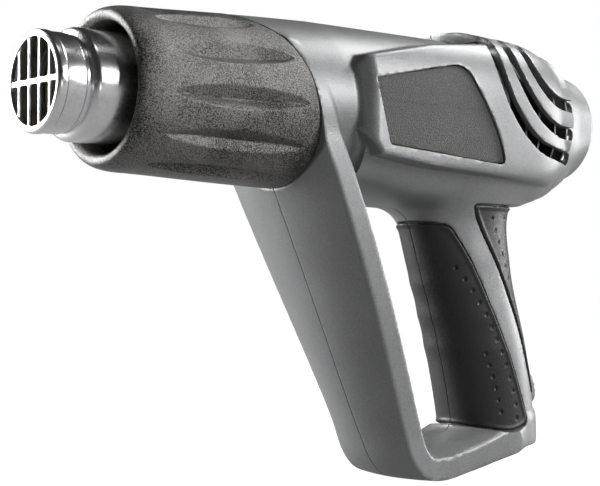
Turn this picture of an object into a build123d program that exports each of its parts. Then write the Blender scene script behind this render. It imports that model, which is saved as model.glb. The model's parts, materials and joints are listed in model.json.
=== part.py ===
"""Heat gun with a D-shaped handle frame, as an assembly of its separate pieces.

Millimetres. The barrel axis is the X axis, and +X is the way the air blows.
The origin is the centre of the flat rear rim, +Z is up, and the tool's left is +Y.
"""
from build123d import *
import os
from math import cos, pi, radians, sin

os.makedirs("parts", exist_ok=True)

# ---- driving dimensions ----
outlet_x = 261.0          # nozzle outlet, so also the overall length
wall = 2.8                # moulded plastic wall
barrel_r = 32.0           # barrel behind the heat guard
rear_r = 22.9             # flat rear rim
belly_z = -36.2           # underside of the motor housing
base_z = -144.0           # underside of the D frame
handle_top_z = -38.0      # joint between the motor housing and the handle shells
base_top_z = -126.0       # joint between the handle shells and the base shells
hand_opening_x = 96.0     # parts the grip shells from the hand guard shells
strip_depth = 9.0         # flat side strip of the D frame
crown = 5.0               # how far the frame's front and inner faces bulge between the strips
pad_depth = 1.8           # how far the rubber pads are let into the grip
panel_recess = 0.8        # side panels lie this far below the hood
panel_depth = 1.9         # depth of the pocket that holds a side panel

nozzle_r = 17.2           # slip-on length for accessories
nozzle_step_r = 19.3
nozzle_wall = 0.8
nozzle_cap_r = 17.2       # no wider than the slip-on length, so accessories pass over it
nozzle_cap_x = 258.5
nozzle_step_x = 247.5
nozzle_rear_x = 133.0

guard_mouth_r = 23.0
guard_lip_r = 27.6
guard_front_x = 236.0

fan_x = 98.0
fan_r = 27.0
motor_x = 46.0            # rear end of the motor can
motor_length = 38.0
motor_r = 14.0
shaft_r = 1.58
bush_r = 1.62
bush_outer_r = 4.0

screw_shank_r = 1.5
screw_head_r = 3.0
screw_well_r = 3.3
screw_head_y = -8.0       # screw heads sit this deep, on the tool's right
boss_r = 4.8
cord_bore_r = 4.2
gland_r = 8.0
gland_x = 46.0
gland_z = -140.5          # outer end of the gland, below the base skin
gland_length = 12.5
clamp_z = -125.8
rear_grille_r = 17.6

# thumb switch on the grip's spine; its plane's X runs up the spine and its Z out of the grip
spine = Vector(0.183, 0, 0.983)
switch_plane = Plane(origin=(25.3, 0, -113.2), x_dir=spine, z_dir=Vector(-0.983, 0, 0.183))
switch_travel = 11.0
thumb_length = 15.0
thumb_width = 11.0
thumb_gap = 0.9           # the thumb piece rides this far clear of the grip
thumb_height = 4.6
neck_length = 5.0
neck_width = 4.4
slide_clear = 0.5         # gap kept round the moving piece
bezel_length = 38.0
bezel_width = 17.0

# side view of the seam between heat guard and housing, bottom to top
guard_seam = [(158.5, -44), (159.5, -30), (161, -14), (164.5, 0.5), (169, 13.5), (174.5, 22), (182, 27.5), (197, 36)]

# hood sections: x, half width, top, bottom, squareness of the lower half
hood_sections = [
    (0.0, rear_r, rear_r, -rear_r, 2.0),
    (14.0, 28.2, 28.4, -25.0, 2.6),
    (34.0, 33.0, 32.6, -26.2, 3.2),
    (65.0, 36.5, 34.6, -25.8, 4.0),
    (100.0, 37.0, 34.6, -25.0, 4.0),
    (150.0, 37.0, 33.0, -24.0, 4.0),
]
# side view of the hood and its cheeks, from the rear rim round to the top rim
hood_outline = [(-2, -30), (50, -26.1), (111, -23), (137, -19.5), (146, -9), (147, 12), (143.5, 16), (108, 24),
                (74, 28), (80, 45), (-2, 45)]

# belly sections: x, half width, bottom
belly_sections = [(12.0, 20.0, -27.0), (26.0, 26.0, -33.5), (60.0, 29.5, belly_z), (100.0, 30.0, belly_z),
                  (132.0, 30.5, -34.0)]

# D frame: outer crease, inner crease, half width, outer crown, inner crown, from the barrel down and back
frame_sections = [
    ((162, -12), (152, -12), 31.0, crown, crown),
    ((151, -36), (141.7, -36), 30.5, crown, crown),
    ((134.3, -71), (125.4, -71), 27.3, 5.8, crown),
    ((121.6, -100), (112.2, -100), 23.6, crown, crown),
    ((112.3, -121), (103.4, -121), 21.0, 4.4, crown),
    ((106.8, -137), (100.4, -130), 20.6, 2.6, crown),
    ((97.5, base_z + 0.3), (95.5, -135.4), 20.5, 0.8, crown),
    ((82, base_z + 0.9), (82.6, -135.3), 20.5, 0.8, crown),
    ((62, -139.4), (66, -131.2), 20.3, 0.8, 4.0),
    ((44, -134.5), (52, -124.0), 19.4, 0.8, 2.0),
]

corner_section = 4        # the column ends and the corner starts here

# grip sections: z, centre x, half depth, half width
grip_sections = [
    (-26.0, 64.0, 30.0, 24.0),
    (-38.0, 64.2, 25.8, 19.6),
    (-60.0, 59.6, 22.9, 18.6),
    (-97.0, 49.6, 21.3, 19.6),
    (-118.0, 45.2, 20.8, 19.4),
    (-130.0, 43.2, 20.4, 19.2),
    (-137.5, 45.0, 15.5, 15.0),
]

# side views of the rubber on the grip
front_pad_outline = [(93, -42), (84, -43.4), (79, -44.6), (70, -56.5), (57, -78.5), (46.5, -101), (39.8, -118.5),
                     (38.8, -123.5), (42, -127.2), (47, -128), (56, -127.6), (66, -125.4), (93, -124)]
rear_pad_outline = [(67, -37), (62.5, -45.5), (51, -63.5), (42.5, -80.5), (36, -99), (31.8, -113), (5, -113), (5, -37)]

# side view of the recessed side panel
panel_outline = [(138.5, 9.5), (96, 16.6), (88, 13), (80.5, 1.5), (75.5, -8), (71.5, -17.5), (75.5, -20.6),
                 (133.5, -15.6)]

# side views of the air slots' centre lines
slot_lines = [
    [(71, 29), (73, 20), (68, 6), (57, -6), (44, -13), (22, -15.5)],
    [(60, 30), (62, 21), (56, 9), (46, 0), (34, -4.5), (20, -5.5)],
    [(50, 30), (50.5, 21), (45, 13), (36, 8), (20, 5.5)],
]
slot_width = 5.2

boss_points = [(149, -29.5), (127.2, -78), (103, -131), (66, -135.6), (79, -34.5), (26, -24.5)]


# ---- shared shapes ----
def hood_section(x, half_width, top, bottom, square):
    """Rounded section across the hood: nearly elliptical above the axis, squarer below it."""
    points = []
    for step in range(16):
        angle = 2 * pi * step / 16
        c, s = cos(angle), sin(angle)
        power = 2 / (2.15 if s >= 0 else square)
        height = top if s >= 0 else -bottom
        y = half_width * abs(c) ** power * (1 if c >= 0 else -1)
        z = height * abs(s) ** power * (1 if s >= 0 else -1)
        points.append((y, z))
    with BuildSketch(Plane.YZ.offset(x)) as section:
        with BuildLine():
            Spline(*points, periodic=True)
        make_face()
    return section.sketch


def belly_section(x, half_width, bottom):
    """Upright rounded section across the belly under the motor."""
    with BuildSketch(Plane.YZ.offset(x)) as section:
        with Locations((0, bottom / 2)):
            RectangleRounded(2 * half_width, -bottom, 9)
    return section.sketch


def frame_section(outer, inner, half_width, outer_crown, inner_crown):
    """Section across the D frame: flat side strips joined by crowned faces."""
    low = Vector(inner[0], 0, inner[1])
    across = Vector(outer[0], 0, outer[1]) - low
    depth = across.length
    plane = Plane(origin=low, x_dir=across.normalized(), z_dir=across.normalized().cross(Vector(0, 1, 0)))
    with BuildSketch(plane) as section:
        with BuildLine():
            Line((0, half_width), (depth, half_width))
            ThreePointArc((depth, half_width), (depth + outer_crown, 0), (depth, -half_width))
            Line((depth, -half_width), (0, -half_width))
            ThreePointArc((0, -half_width), (-inner_crown, 0), (0, half_width))
        make_face()
    return section.sketch


def grip_section(z, centre, half_depth, half_width):
    """Oval section across the grip."""
    with BuildSketch(Plane.XY.offset(z)) as section:
        with Locations((centre, 0)):
            Ellipse(half_depth, half_width)
    return section.sketch


def disc(x_start, x_end, radius, mode=Mode.ADD):
    """Cylinder along the barrel axis."""
    with BuildSketch(Plane.YZ.offset(x_start)) as face:
        Circle(radius)
    extrude(face.sketch, amount=x_end - x_start, mode=mode)


def ring(x_start, x_end, outer_r, inner_r):
    """Tube along the barrel axis."""
    with BuildSketch(Plane.YZ.offset(x_start)) as face:
        Circle(outer_r)
        Circle(inner_r, mode=Mode.SUBTRACT)
    extrude(face.sketch, amount=x_end - x_start)


def side_prism(points, y_from, y_to, mode=Mode.ADD):
    """Side-view outline made solid between two distances from the middle plane."""
    with BuildSketch(Plane.XZ.offset(-y_to)) as face:
        Polygon(*points, align=None)
    extrude(face.sketch, amount=y_to - y_from, mode=mode)


def pegs(points, radius, y_from, y_to, mode=Mode.ADD):
    """Round pegs across the tool at side-view points."""
    with BuildSketch(Plane.XZ.offset(-y_to)) as face:
        with Locations(*points):
            Circle(radius)
    extrude(face.sketch, amount=y_to - y_from, mode=mode)


def guard_space(mode):
    """Everything forward of the curved seam between heat guard and housing."""
    with BuildSketch(Plane.XZ.offset(-60)) as face:
        with BuildLine():
            Spline(*guard_seam)
            Polyline(guard_seam[-1], (300, 36), (300, -44), guard_seam[0])
        make_face()
    extrude(face.sketch, amount=120, mode=mode)


def save(name, part):
    """Label a finished piece and write its file."""
    part.label = name
    export_step(part, f"parts/{name}.step")


# ---- form of the housing and of the space inside it ----
def hood_form(inset):
    """Hood with its two cheeks, shrunk by inset."""
    with BuildPart() as hood:
        loft([hood_section(x, half_width - inset, top - inset, bottom + inset, square)
              for x, half_width, top, bottom, square in hood_sections])
        side_prism(hood_outline, -60, 60, Mode.INTERSECT)
        with BuildSketch() as plan:
            Polygon((inset, -50), (127.5 - inset, -50), (160 - inset, -17.5), (160 - inset, 17.5),
                    (127.5 - inset, 50), (inset, 50), align=None)
        extrude(plan.sketch, amount=60, both=True, mode=Mode.INTERSECT)
    return hood.part


def frame_form(inset):
    """D frame: the front column and, past the corner, the base."""
    sections = []
    for outer, inner, half_width, outer_crown, inner_crown in frame_sections:
        shift = Vector(inner[0] - outer[0], inner[1] - outer[1]).normalized() * inset
        shrunk_outer = (outer[0] + shift.X, outer[1] + shift.Y)
        shrunk_inner = (inner[0] - shift.X, inner[1] - shift.Y)
        sections.append(frame_section(shrunk_outer, shrunk_inner, half_width - inset, outer_crown, inner_crown))
    with BuildPart() as frame:
        loft(sections[:corner_section + 1])
        loft(sections[corner_section:])
    return frame.part


def grip_form(inset):
    """Grip from the belly down into the base."""
    lift = [0] * (len(grip_sections) - 1) + [inset]
    with BuildPart() as grip:
        loft([grip_section(z + up, centre, half_depth - inset, half_width - inset)
              for up, (z, centre, half_depth, half_width) in zip(lift, grip_sections)])
    return grip.part


def body_form(inset):
    """Whole housing form shrunk by inset."""
    with BuildPart() as belly:
        loft([belly_section(x, half_width - inset, bottom + inset) for x, half_width, bottom in belly_sections])
    with BuildPart() as form:
        disc(30, 200, barrel_r - inset)
        add(hood_form(inset))
        add(belly.part)
        add(frame_form(inset))
        add(grip_form(inset))
        guard_space(Mode.SUBTRACT)
    return form.part


outer_form = body_form(0)
inner_form = body_form(wall)
pad_bed = grip_form(pad_depth)

# ---- switch bezel, rubber pads and side panels, all let into the housing ----
with BuildPart() as switch_bezel:
    with BuildSketch(switch_plane.offset(-12)) as bezel_face:
        with Locations((switch_travel / 2, 0)):
            RectangleRounded(bezel_length, bezel_width, 4)
    extrude(bezel_face.sketch, amount=16)
    add(outer_form, mode=Mode.INTERSECT)
    add(pad_bed, mode=Mode.SUBTRACT)
bezel_blank = switch_bezel.part

with BuildPart() as switch_slot:
    with BuildSketch(switch_plane.offset(-8)) as slot_face:
        with Locations((switch_travel / 2, 0)):
            Rectangle(switch_travel + neck_length + 2 * slide_clear, neck_width + 2 * slide_clear)
    extrude(slot_face.sketch, amount=12)

with BuildPart() as switch_bezel:
    add(bezel_blank)
    add(switch_slot.part, mode=Mode.SUBTRACT)

with BuildPart() as front_pad:
    add(outer_form)
    side_prism(front_pad_outline, -40, 40, Mode.INTERSECT)
    add(pad_bed, mode=Mode.SUBTRACT)

with BuildPart() as grip_front_left:
    add(front_pad.part)
    split(bisect_by=Plane.XZ, keep=Keep.BOTTOM)

with BuildPart() as grip_front_right:
    add(front_pad.part)
    split(bisect_by=Plane.XZ, keep=Keep.TOP)

with BuildPart() as grip_rear_pad:
    add(outer_form)
    side_prism(rear_pad_outline, -40, 40, Mode.INTERSECT)
    add(pad_bed, mode=Mode.SUBTRACT)
    add(bezel_blank, mode=Mode.SUBTRACT)

with BuildPart() as side_panel_left:
    add(hood_form(panel_recess))
    side_prism(panel_outline, 10, 60, Mode.INTERSECT)
    add(hood_form(panel_depth), mode=Mode.SUBTRACT)

with BuildPart() as side_panel_right:
    mirror(side_panel_left.part, about=Plane.XZ)

with BuildPart() as panel_pockets:
    add(outer_form)
    side_prism(panel_outline, 10, 60, Mode.INTERSECT)
    add(hood_form(panel_depth), mode=Mode.SUBTRACT)
    mirror(about=Plane.XZ)

# ---- housing: one hollow form, cut into left and right halves ----
with BuildPart() as air_slots:
    for line in slot_lines:
        with BuildSketch(Plane.XZ.offset(-50)) as slot_sketch:
            with BuildLine():
                Spline(*line)
            trace(line_width=slot_width)
        extrude(slot_sketch.sketch, amount=42)
    mirror(about=Plane.XZ)

with BuildPart() as bosses:
    pegs(boss_points, boss_r, -40, 40)
    add(outer_form, mode=Mode.INTERSECT)

with BuildPart() as gland_blank:
    with BuildSketch(Plane.XY.offset(gland_z)) as gland_face:
        with Locations((gland_x, 0)):
            Circle(gland_r)
    extrude(gland_face.sketch, amount=gland_length)

with BuildPart() as shell:
    add(outer_form)
    add(inner_form, mode=Mode.SUBTRACT)
    add(bosses.part)
    add(air_slots.part, mode=Mode.SUBTRACT)
    add(panel_pockets.part, mode=Mode.SUBTRACT)
    add(front_pad.part, mode=Mode.SUBTRACT)
    add(grip_rear_pad.part, mode=Mode.SUBTRACT)
    add(bezel_blank, mode=Mode.SUBTRACT)
    add(switch_slot.part, mode=Mode.SUBTRACT)
    add(gland_blank.part, mode=Mode.SUBTRACT)
    disc(-1, 4, rear_grille_r, Mode.SUBTRACT)

with BuildPart() as left_half:
    add(shell.part)
    split(bisect_by=Plane.XZ, keep=Keep.BOTTOM)
    pegs(boss_points, screw_shank_r, 0, 9, Mode.SUBTRACT)

with BuildPart() as right_half:
    add(shell.part)
    split(bisect_by=Plane.XZ, keep=Keep.TOP)
    pegs(boss_points, screw_shank_r, screw_head_y, 0, Mode.SUBTRACT)
    pegs(boss_points, screw_well_r, -45, screw_head_y, Mode.SUBTRACT)

# each half is made of four shells that meet at flat joints round the hand opening
shell_zones = {
    "housing": ((-10, 210), (handle_top_z, 50)),
    "grip_shell": ((-10, hand_opening_x), (base_top_z, handle_top_z)),
    "hand_guard": ((hand_opening_x, 210), (base_top_z, handle_top_z)),
    "base_shell": ((-10, 210), (-160, base_top_z)),
}
shells = {}
for zone, ((x_from, x_to), (z_from, z_to)) in shell_zones.items():
    for side, half in (("left", left_half), ("right", right_half)):
        with BuildPart() as zone_shell:
            add(half.part)
            with Locations(((x_from + x_to) / 2, 0, (z_from + z_to) / 2)):
                Box(x_to - x_from, 100, z_to - z_from, mode=Mode.INTERSECT)
        shells[f"{zone}_{side}"] = zone_shell

with BuildPart() as housing_screws:
    pegs(boss_points, screw_shank_r, screw_head_y, 9)
    pegs(boss_points, screw_head_r, screw_head_y - 2.2, screw_head_y)

with BuildPart() as cord_gland:
    add(gland_blank.part)
    with Locations((gland_x, 0, -132)):
        Cylinder(cord_bore_r, 20, mode=Mode.SUBTRACT)

with BuildPart() as cord_clamp:
    with Locations((gland_x, 0, clamp_z)):
        Box(12, 40, 4)
    add(inner_form, mode=Mode.INTERSECT)
    with Locations((gland_x, 0, clamp_z)):
        Cylinder(cord_bore_r, 20, mode=Mode.SUBTRACT)
    with Locations((gland_x + 1, 10, clamp_z), (gland_x + 1, -10, clamp_z)):
        Cylinder(1.3, 20, mode=Mode.SUBTRACT)

with BuildPart() as clamp_screws:
    with Locations((gland_x + 1, 10, clamp_z), (gland_x + 1, -10, clamp_z)):
        Cylinder(1.3, 4)
    with Locations((gland_x + 1, 10, clamp_z + 2.8), (gland_x + 1, -10, clamp_z + 2.8)):
        Cylinder(2.4, 1.6)

# ---- heat guard and nozzle ----
with BuildPart() as heat_guard:
    with BuildSketch(Plane.XZ) as guard_profile:
        with BuildLine():
            Polyline((150, barrel_r + 0.1), (guard_front_x - 5, guard_lip_r + 0.3))
            ThreePointArc((guard_front_x - 5, guard_lip_r + 0.3), (guard_front_x, 25.2),
                          (guard_front_x - 3, guard_mouth_r))
            Polyline((guard_front_x - 3, guard_mouth_r), (guard_front_x - 9, guard_mouth_r + 1.2),
                     (150, barrel_r - wall), (150, barrel_r + 0.1))
        make_face()
    revolve(guard_profile.sketch, axis=Axis.X)
    guard_space(Mode.INTERSECT)

with BuildPart() as nozzle_tube:
    with BuildSketch(Plane.XZ) as tube_profile:
        Polygon((nozzle_rear_x, barrel_r - wall), (nozzle_rear_x, nozzle_step_r - nozzle_wall),
                (nozzle_step_x - 0.8, nozzle_step_r - nozzle_wall), (nozzle_step_x, nozzle_r - nozzle_wall),
                (nozzle_cap_x, nozzle_r - nozzle_wall), (nozzle_cap_x, nozzle_r), (nozzle_step_x + 0.8, nozzle_r),
                (nozzle_step_x, nozzle_step_r), (nozzle_rear_x + 1.2, nozzle_step_r),
                (nozzle_rear_x + 1.2, barrel_r - wall), align=None)
    revolve(tube_profile.sketch, axis=Axis.X)

with BuildPart() as nozzle_grille:
    ring(nozzle_cap_x, outlet_x, nozzle_cap_r, nozzle_cap_r - 1.5)
    with Locations(*[(outlet_x - 0.5, y, 0) for y in (-9.9, -3.3, 3.3, 9.9)]):
        Box(1, 1.1, 34)
    with Locations((outlet_x - 0.5, 0, 0)):
        Box(1, 33, 1.8)
    disc(nozzle_cap_x, outlet_x, nozzle_cap_r, Mode.INTERSECT)

with BuildPart() as mica_sleeve:
    ring(140, 246, nozzle_step_r - nozzle_wall - 0.2, nozzle_step_r - nozzle_wall - 0.8)

with BuildPart() as heater_former:
    with Locations((194, 0, 0)):
        Box(92, 31, 2)
        Box(92, 2, 31)

with BuildPart() as heating_coils:
    for turn in range(15):
        with BuildSketch(Plane.XZ) as wire:
            with Locations((152 + 6 * turn, 16.3)):
                Circle(0.55)
        revolve(wire.sketch, axis=Axis.X)

with BuildPart() as thermal_cutout:
    with Locations((142, 0, 9)):
        Box(10, 7, 4)
    fillet(thermal_cutout.edges().filter_by(Axis.X), 1)

# ---- fan and motor ----
with BuildPart() as air_guide:
    with BuildSketch(Plane.XZ) as guide_profile:
        Polygon((112, barrel_r - wall), (132.6, nozzle_step_r + 0.8), (132.6, nozzle_step_r - 0.6),
                (112, barrel_r - wall - 1.6), align=None)
    revolve(guide_profile.sketch, axis=Axis.X)

with BuildPart() as fan_wheel:
    disc(fan_x - 6, fan_x + 6, 8)
    for blade in range(9):
        turn = 360 / 9 * blade
        direction = Vector(0, cos(radians(turn)), sin(radians(turn)))
        blade_plane = Plane(origin=(fan_x, 0, 0) + direction * 6, x_dir=Vector(1, 0, 0), z_dir=direction)
        with BuildSketch(blade_plane) as blade_sketch:
            with Locations(Location((0, 0), 38)):
                Rectangle(13, 1.4)
        extrude(blade_sketch.sketch, amount=24)
    with BuildSketch(Plane.YZ.offset(fan_x - 8)) as fan_limit:
        Circle(fan_r)
    extrude(fan_limit.sketch, amount=16, mode=Mode.INTERSECT)
    disc(fan_x - 10, fan_x + 10, shaft_r, Mode.SUBTRACT)

with BuildPart() as motor_shaft:
    disc(motor_x - 6, fan_x + 8, shaft_r)

with BuildPart() as armature:
    ring(motor_x + 8, motor_x + 30, 11, shaft_r)

with BuildPart() as commutator:
    ring(motor_x + 2, motor_x + 7, 4.2, shaft_r)

with BuildPart() as motor_can:
    ring(motor_x, motor_x + motor_length, motor_r, motor_r - 1.2)
    ring(motor_x + motor_length - 2, motor_x + motor_length, motor_r, bush_outer_r)

with BuildPart() as motor_magnets:
    ring(motor_x + 6, motor_x + 32, motor_r - 1.2, motor_r - 2.5)
    with Locations((motor_x + 19, 0, 0)):
        Box(30, 40, 7, mode=Mode.SUBTRACT)

with BuildPart() as motor_end_cap:
    ring(motor_x - 3, motor_x, motor_r, bush_outer_r)

with BuildPart() as motor_bushes:
    ring(motor_x - 4, motor_x, bush_outer_r, bush_r)
    ring(motor_x + motor_length - 2, motor_x + motor_length + 2, bush_outer_r, bush_r)

with BuildPart() as motor_bracket:
    ring(60, 68, barrel_r - wall, barrel_r - wall - 2.2)
    with Locations((64, 0, 0)):
        Box(3, 2 * (barrel_r - wall - 1), 4)
        Box(3, 4, 2 * (barrel_r - wall - 1))
    ring(60, 68, motor_r + 2.4, motor_r)
    disc(55, 75, motor_r, Mode.SUBTRACT)

with BuildPart() as rear_grille:
    disc(0, 2.2, rear_grille_r)
    with Locations(*[(1, 0, z) for z in (-12.5, -8.3, 8.3, 12.5)]):
        Box(6, 20, 2.2, mode=Mode.SUBTRACT)
    with Locations(*[(1, y, z) for y in (-10.5, 10.5) for z in (-4.1, 0, 4.1)]):
        Box(6, 9, 2.2, mode=Mode.SUBTRACT)

vent_fins = {}
for side_name, fin_y in (("left", 32), ("right", -32)):
    with BuildPart() as fins:
        with Locations(*[(x, fin_y, 6) for x in (24, 34, 46, 55)]):
            Box(1.2, 24, 44)
        add(hood_form(wall), mode=Mode.INTERSECT)
    vent_fins[f"vent_fins_{side_name}"] = fins

# ---- switch, board and terminals in the grip ----
with BuildPart() as switch_slider:
    with BuildSketch(switch_plane.offset(thumb_gap)) as thumb:
        RectangleRounded(thumb_length, thumb_width, 3.5)
    extrude(thumb.sketch, amount=thumb_height - thumb_gap, taper=14)
    fillet(switch_slider.faces().sort_by(Axis.X)[0].edges(), 1.2)
    with BuildSketch(switch_plane.offset(-9)) as neck:
        Rectangle(neck_length, neck_width)
    extrude(neck.sketch, amount=9 + thumb_gap)

with BuildPart() as switch_body:
    with BuildSketch(switch_plane.offset(-18)) as body_face:
        with Locations((switch_travel / 2, 0)):
            RectangleRounded(24, 15, 1.5)
    extrude(body_face.sketch, amount=12)
    with BuildSketch(switch_plane.offset(-11)) as body_slot:
        with Locations((switch_travel / 2, 0)):
            Rectangle(switch_travel + neck_length + 2 * slide_clear, neck_width + 2 * slide_clear)
    extrude(body_slot.sketch, amount=8, mode=Mode.SUBTRACT)

with BuildPart() as circuit_board:
    with Locations((58, -6, -62)):
        Box(24, 1.6, 38)

with BuildPart() as board_parts:
    with Locations((58, -1.2, -50)):
        Box(16, 8, 10)
    with Locations(Location((54, -1.2, -66), (90, 0, 0)), Location((64, -1.2, -66), (90, 0, 0))):
        Cylinder(4, 8)
    with Locations((58, -3.2, -76)):
        Box(10, 4, 5)

with BuildPart() as terminal_block:
    with Locations((53, 0, -101)):
        Box(10, 16, 12)
    fillet(terminal_block.edges().filter_by(Axis.Y), 1)

pieces = {
    **shells, **vent_fins, "heat_guard": heat_guard,
    "nozzle_tube": nozzle_tube, "nozzle_grille": nozzle_grille, "mica_sleeve": mica_sleeve,
    "heater_former": heater_former, "heating_coils": heating_coils, "thermal_cutout": thermal_cutout,
    "air_guide": air_guide, "fan_wheel": fan_wheel, "motor_shaft": motor_shaft, "armature": armature,
    "commutator": commutator, "motor_can": motor_can, "motor_magnets": motor_magnets,
    "motor_end_cap": motor_end_cap, "motor_bushes": motor_bushes, "motor_bracket": motor_bracket,
    "rear_grille": rear_grille,
    "side_panel_left": side_panel_left, "side_panel_right": side_panel_right,
    "grip_front_left": grip_front_left, "grip_front_right": grip_front_right, "grip_rear_pad": grip_rear_pad,
    "switch_bezel": switch_bezel, "switch_slider": switch_slider, "switch_body": switch_body,
    "circuit_board": circuit_board, "board_parts": board_parts, "terminal_block": terminal_block,
    "cord_gland": cord_gland, "cord_clamp": cord_clamp, "clamp_screws": clamp_screws,
    "housing_screws": housing_screws,
}
for name, piece in pieces.items():
    save(name, piece.part)
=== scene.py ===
"""Heat gun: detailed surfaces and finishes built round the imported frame.

Shapes are written in millimetres in the part's own frame and become metres in the meshes.
+X is the way the air blows, +Z is up, +Y is the tool's left, and the rear rim lies at X = 0.
"""
import json
import math

import bmesh
import bpy
import numpy as np
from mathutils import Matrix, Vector


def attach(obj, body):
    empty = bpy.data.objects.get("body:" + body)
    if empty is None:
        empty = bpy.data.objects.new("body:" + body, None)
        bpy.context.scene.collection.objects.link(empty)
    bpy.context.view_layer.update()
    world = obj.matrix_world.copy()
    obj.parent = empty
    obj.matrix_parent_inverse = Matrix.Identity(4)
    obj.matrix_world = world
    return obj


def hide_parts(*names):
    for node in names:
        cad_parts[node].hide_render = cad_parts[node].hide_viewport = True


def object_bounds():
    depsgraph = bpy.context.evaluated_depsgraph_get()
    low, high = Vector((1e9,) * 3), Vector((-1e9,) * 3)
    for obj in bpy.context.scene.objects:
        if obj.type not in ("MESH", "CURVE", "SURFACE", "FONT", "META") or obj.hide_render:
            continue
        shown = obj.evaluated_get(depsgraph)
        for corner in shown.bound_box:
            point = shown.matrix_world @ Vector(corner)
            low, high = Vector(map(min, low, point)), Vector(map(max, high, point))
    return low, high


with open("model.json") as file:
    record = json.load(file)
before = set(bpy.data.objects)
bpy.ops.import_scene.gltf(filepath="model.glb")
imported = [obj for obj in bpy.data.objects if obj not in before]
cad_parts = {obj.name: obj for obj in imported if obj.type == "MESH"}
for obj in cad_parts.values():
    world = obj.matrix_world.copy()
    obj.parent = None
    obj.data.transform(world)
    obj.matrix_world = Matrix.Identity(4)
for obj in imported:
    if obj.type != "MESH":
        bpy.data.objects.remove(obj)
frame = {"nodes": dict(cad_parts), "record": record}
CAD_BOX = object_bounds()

MM = 0.001
COARSE = 1.0

# ---- driving sizes, in millimetres ----
REAR_R = 22.9             # housing's rear rim
REAR_HOLE_R = 17.75       # seat of the rear intake grille
SPLIT_Y = 0.17            # half the gap between the housing halves
HOUSING_WALL = 2.6
SLOT_HALF_WIDTH = 2.6     # curved air slots
SCREW_WELL_R = 3.3
SCREW_WELL_FLOOR_Y = 8.2
PANEL_RECESS = 0.8
PANEL_POCKET = 1.9
PAD_DEPTH = 1.7           # rubber thickness sunk in the grip
PAD_CLEARANCE = 0.35
GUARD_REAR_R = 28.6       # guard's inside at its rear seam
GUARD_MOUTH_R = 25.0      # where the rolled lip turns into the mouth
OUTLET_BAR_Y = (-9.9, -3.3, 3.3, 9.9)
BEZEL_HALF_WIDTH = 8.7


# =====================================================================
# Field tools: a shape is a function that is negative inside
# =====================================================================
def curve(t, knots, values):
    """Smooth curve through values at rising knots, level outside them."""
    knots = np.asarray(knots, float)
    values = np.asarray(values, float)
    slopes = np.gradient(values, knots)
    t = np.clip(t, knots[0], knots[-1])
    i = np.clip(np.searchsorted(knots, t) - 1, 0, len(knots) - 2)
    width = knots[i + 1] - knots[i]
    s = (t - knots[i]) / width
    keep = (1 + 2 * s) * (1 - s) ** 2
    turn = s * s * (3 - 2 * s)
    return (keep * values[i] + turn * values[i + 1]
            + s * (1 - s) ** 2 * width * slopes[i] - s * s * (1 - s) * width * slopes[i + 1])


def join(a, b, radius):
    """Union with a fillet of about that radius."""
    h = np.clip(0.5 + 0.5 * (b - a) / radius, 0, 1)
    return b + (a - b) * h - radius * h * (1 - h)


def cut(a, b, radius):
    """Intersection with the edge rounded to about that radius."""
    return -join(-a, -b, radius)


def oval(u, v, half_u, half_v, power=2.0):
    """Distance-like value of a superellipse."""
    reach = ((np.abs(u) / half_u) ** power + (np.abs(v) / half_v) ** power) ** (1 / power)
    return (reach - 1) * np.minimum(half_u, half_v)


def path_distance(u, v, points):
    """Distance to a polyline, the side it lies on, and the fraction of the way along."""
    best = None
    side = None
    along = None
    spans = len(points) - 1
    for k in range(spans):
        (u0, v0), (u1, v1) = points[k], points[k + 1]
        du, dv = u1 - u0, v1 - v0
        t = np.clip(((u - u0) * du + (v - v0) * dv) / (du * du + dv * dv), 0, 1)
        ru, rv = u - u0 - t * du, v - v0 - t * dv
        d = np.sqrt(ru * ru + rv * rv)
        s = du * rv - dv * ru
        if best is None:
            best, side, along = d, s, (k + t) / spans
        else:
            near = d < best
            best = np.where(near, d, best)
            side = np.where(near, s, side)
            along = np.where(near, (k + t) / spans, along)
    return best, side, along


def outline_distance(u, v, points):
    """Signed distance to a closed straight-sided outline, negative inside."""
    best = None
    inside = False
    for k in range(len(points)):
        (u0, v0), (u1, v1) = points[k - 1], points[k]
        du, dv = u1 - u0, v1 - v0
        t = np.clip(((u - u0) * du + (v - v0) * dv) / (du * du + dv * dv), 0, 1)
        d = (u - u0 - t * du) ** 2 + (v - v0 - t * dv) ** 2
        best = d if best is None else np.minimum(best, d)
        crosses = ((v0 > v) != (v1 > v)) & (u < du * (v - v0) / (dv if dv else 1e-9) + u0)
        inside = inside ^ crosses
    return np.where(inside, -1, 1) * np.sqrt(best)


def rounded_path(points, steps=6):
    """Catmull-Rom curve through given points, as a finer polyline."""
    p = np.array([points[0]] + list(points) + [points[-1]], float)
    out = []
    for k in range(1, len(p) - 2):
        for s in np.arange(steps) / steps:
            a, b, c, d = p[k - 1], p[k], p[k + 1], p[k + 2]
            out.append(0.5 * (2 * b + (c - a) * s + (2 * a - 5 * b + 4 * c - d) * s * s
                              + (3 * b - a - 3 * c + d) * s ** 3))
    out.append(p[-2])
    return [tuple(q) for q in out]


# =====================================================================
# Turning a field into a mesh
# =====================================================================
BLOCK = 4


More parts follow.
